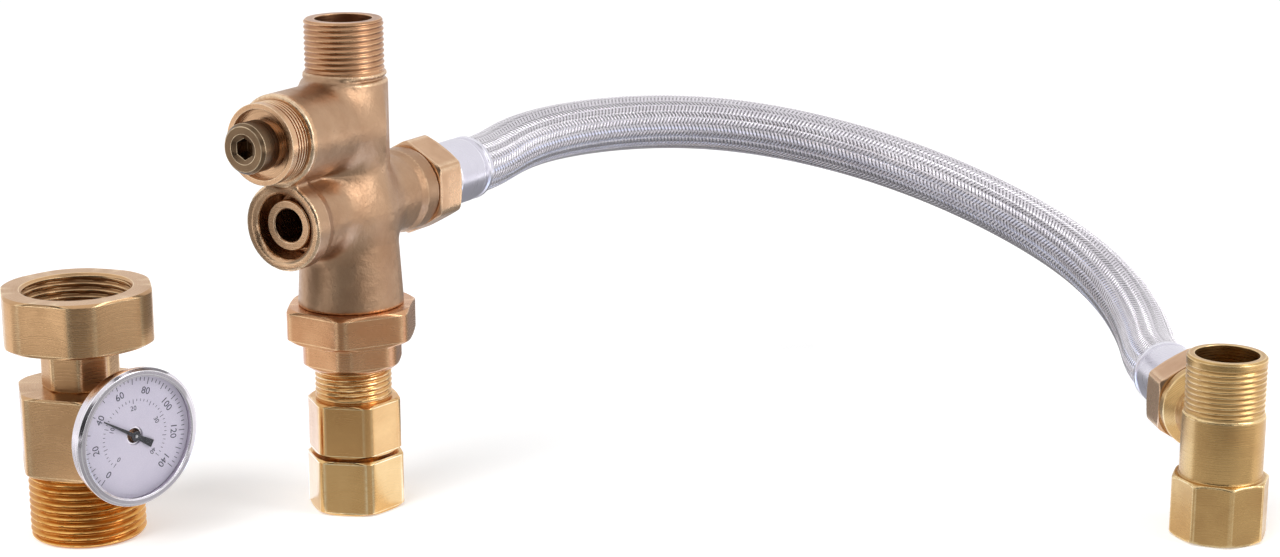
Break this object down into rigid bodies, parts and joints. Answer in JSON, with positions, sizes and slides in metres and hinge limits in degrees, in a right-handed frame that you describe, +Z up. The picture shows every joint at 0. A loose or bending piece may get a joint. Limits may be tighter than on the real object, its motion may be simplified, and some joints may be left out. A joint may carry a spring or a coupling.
{
  "type": "mixing valve and flex hose kit",
  "caption": "Brass thermostatic mixing valve for water with a stainless braided flex hose to a threaded tee, and a separate union adapter with a dial thermometer.",
  "frame": {"origin": "centre of the valve's hot inlet mouth, the open end of the lowest nut, on the plane that all the pieces stand on", "axes": "+Z up along the valve body to its outlet; +X along the kit's length, from the thermometer adapter past the valve to the tee"},
  "size_m": [0.4183, 0.2389, 0.168],
  "materials": {
    "cast_brass": "satin, as cast and bead blasted",
    "bonnet_brass": "machined",
    "nut_brass": "machined, bright",
    "tee_brass": "machined",
    "union_brass": "machined",
    "braid": "braided wire",
    "ferrule": "satin, crimped",
    "steel": "spring steel and stainless",
    "polished_steel": "polished stainless",
    "rubber": "matt",
    "liner": "matt",
    "white_plastic": "moulded",
    "dial": "printed",
    "dial_ink": "printed",
    "pointer": "matt",
    "lens": "clear"
  },
  "bodies": {
    "valve_and_hose": {"valve_body": "cast_brass", "adjuster_bonnet": "bonnet_brass", "adjuster_seal": "rubber", "return_spring": "steel", "port_insert": "bonnet_brass", "cold_check_housing": "white_plastic", "cold_check_spring": "steel", "cold_strainer": "steel", "inlet_bonnet": "bonnet_brass", "bonnet_seal": "rubber", "hot_check_housing": "white_plastic", "hot_check_spring": "steel", "hot_check_ring": "steel", "inlet_adapter": "nut_brass", "inlet_gasket": "rubber", "hose_braid": "braid", "hose_liner": "liner", "valve_end_insert": "nut_brass", "valve_end_washer": "rubber", "valve_end_ferrule": "ferrule", "tee_end_insert": "nut_brass", "tee_end_washer": "rubber", "tee_end_ferrule": "ferrule", "tee_body": "tee_brass"},
    "inlet_swivel": {"inlet_swivel_nut": "nut_brass"},
    "valve_nut": {"valve_end_nut": "bonnet_brass"},
    "tee_nut": {"tee_end_nut": "bonnet_brass"},
    "spindle": {"adjuster_spindle": "bonnet_brass", "spindle_clip": "steel", "spindle_seals": "rubber"},
    "shuttle": {"element_carrier": "white_plastic", "thermostat_element": "bonnet_brass", "mixing_shuttle": "white_plastic"},
    "cold_poppet": {"cold_check_poppet": "white_plastic"},
    "hot_poppet": {"hot_check_poppet": "white_plastic"},
    "thermo_unit": {"unit_body": "union_brass", "unit_tailpiece": "union_brass", "union_gasket": "rubber", "thermometer_bush": "nut_brass", "thermometer_stem": "polished_steel", "thermometer_case": "polished_steel", "thermometer_bezel": "polished_steel", "dial_face": "dial", "dial_marks": "dial_ink", "bimetal_coil": "steel", "dial_lens": "lens"},
    "union": {"union_nut": "union_brass"},
    "pointer": {"dial_pointer": "pointer", "pointer_shaft": "steel"}
  },
  "joints": [
    {"name": "inlet_swivel_turn", "type": "hinge", "parent": "valve_and_hose", "child": "inlet_swivel", "pos_m": [0, 0, 0.0095], "axis": [0, 0, 1], "continuous": true},
    {"name": "valve_nut_turn", "type": "hinge", "parent": "valve_and_hose", "child": "valve_nut", "pos_m": [0.021, 0.03637, 0.1045], "axis": [0.5, 0.866, 0], "continuous": true},
    {"name": "tee_nut_turn", "type": "hinge", "parent": "valve_and_hose", "child": "tee_nut", "pos_m": [0.2861, 0.00076, 0.0375], "axis": [-0.1219, 0.9925, 0], "continuous": true},
    {"name": "spindle_turn", "type": "hinge", "parent": "valve_and_hose", "child": "spindle", "pos_m": [-0.0235, -0.0407, 0.1335], "axis": [-0.5, -0.866, 0], "range_deg": [-270, 270]},
    {"name": "shuttle_slide", "type": "slide", "parent": "valve_and_hose", "child": "shuttle", "axis": [-0.5, -0.866, 0], "range_m": [-0.0012, 0.0012], "deforming": ["return_spring"]},
    {"name": "cold_poppet_slide", "type": "slide", "parent": "valve_and_hose", "child": "cold_poppet", "axis": [-0.5, -0.866, 0], "range_m": [0, 0.003], "stiffness_N_per_m": 120, "springref_m": -0.002, "deforming": ["cold_check_spring"]},
    {"name": "hot_poppet_slide", "type": "slide", "parent": "valve_and_hose", "child": "hot_poppet", "axis": [0, 0, 1], "range_m": [0, 0.003], "stiffness_N_per_m": 120, "springref_m": -0.002, "deforming": ["hot_check_spring"]},
    {"name": "unit_lift_off", "type": "slide", "parent": "valve_and_hose", "child": "thermo_unit", "axis": [0, 0, 1], "range_m": [0, 0.12]},
    {"name": "union_nut_turn", "type": "hinge", "parent": "thermo_unit", "child": "union", "pos_m": [-0.0865, -0.028, 0.075], "axis": [0, 0, 1], "continuous": true},
    {"name": "pointer_turn", "type": "hinge", "parent": "thermo_unit", "child": "pointer", "pos_m": [-0.06582, -0.04833, 0.0395], "axis": [0.7133, -0.7009, 0], "range_deg": [-193, 77]}
  ],
  "couplings": [
    {"joint": "shuttle_slide", "follows": "spindle_turn", "m_per_rad": -0.0002546}
  ]
}
